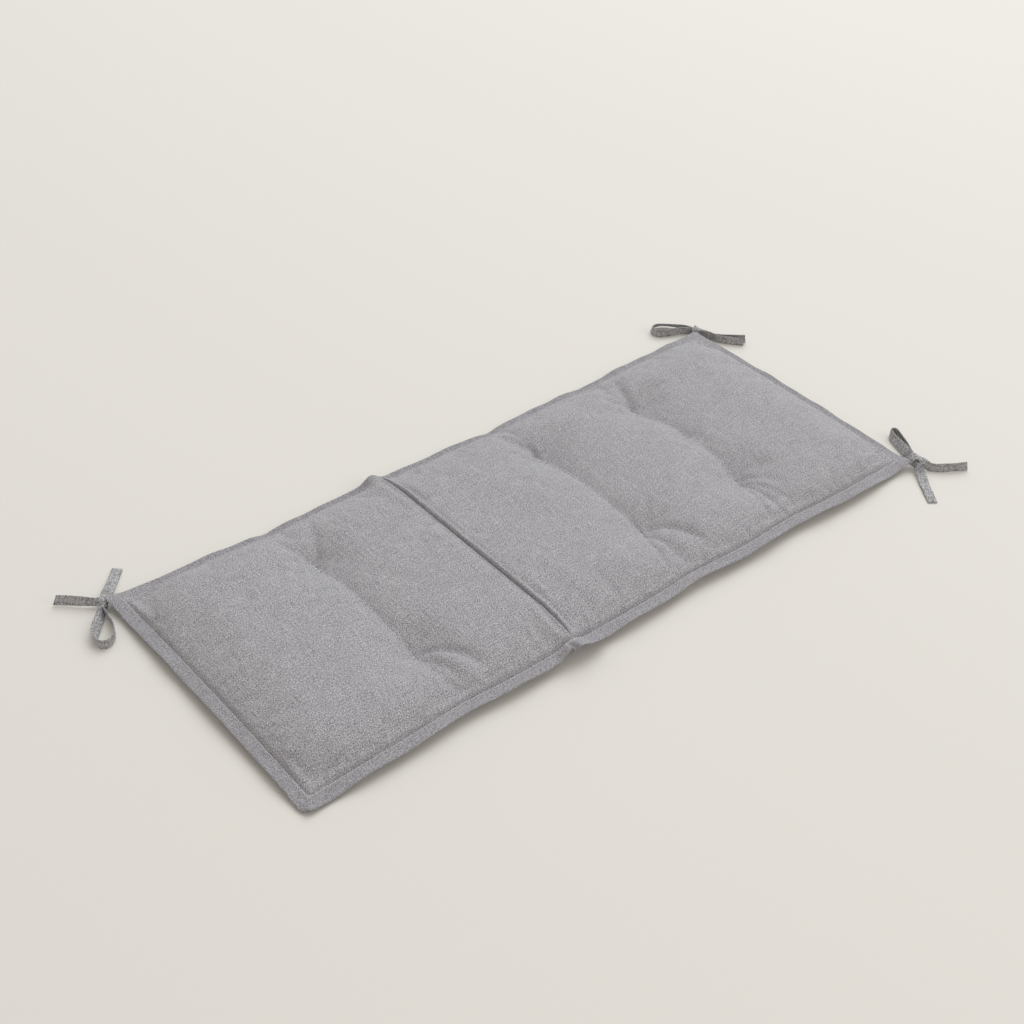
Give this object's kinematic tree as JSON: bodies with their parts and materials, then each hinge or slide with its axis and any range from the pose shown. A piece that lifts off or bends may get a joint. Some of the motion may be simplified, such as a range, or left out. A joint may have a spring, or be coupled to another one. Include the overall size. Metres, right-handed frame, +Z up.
{
  "type": "garden chair cushion",
  "caption": "Filled high-back garden chair cushion with a stitched flange, a sewn fold line, pulled-in tacks and self-fabric corner ties in half bows.",
  "frame": {"origin": "on the surface that the cushion lies on, under the middle of the pad", "axes": "+X along the pad from the seat's end to the back's end, +Y across it, +Z up out of the pad's tacked face"},
  "size_m": [1.3322, 0.6504, 0.046],
  "materials": {
    "cushion_cloth": "matt grey melange weave",
    "tie_cloth": "matt grey melange weave, slightly greener and darker"
  },
  "bodies": {
    "root": {"cushion": "cushion_cloth", "tie_left": "tie_cloth", "tie_top": "tie_cloth", "tie_right": "tie_cloth"}
  },
  "joints": []
}
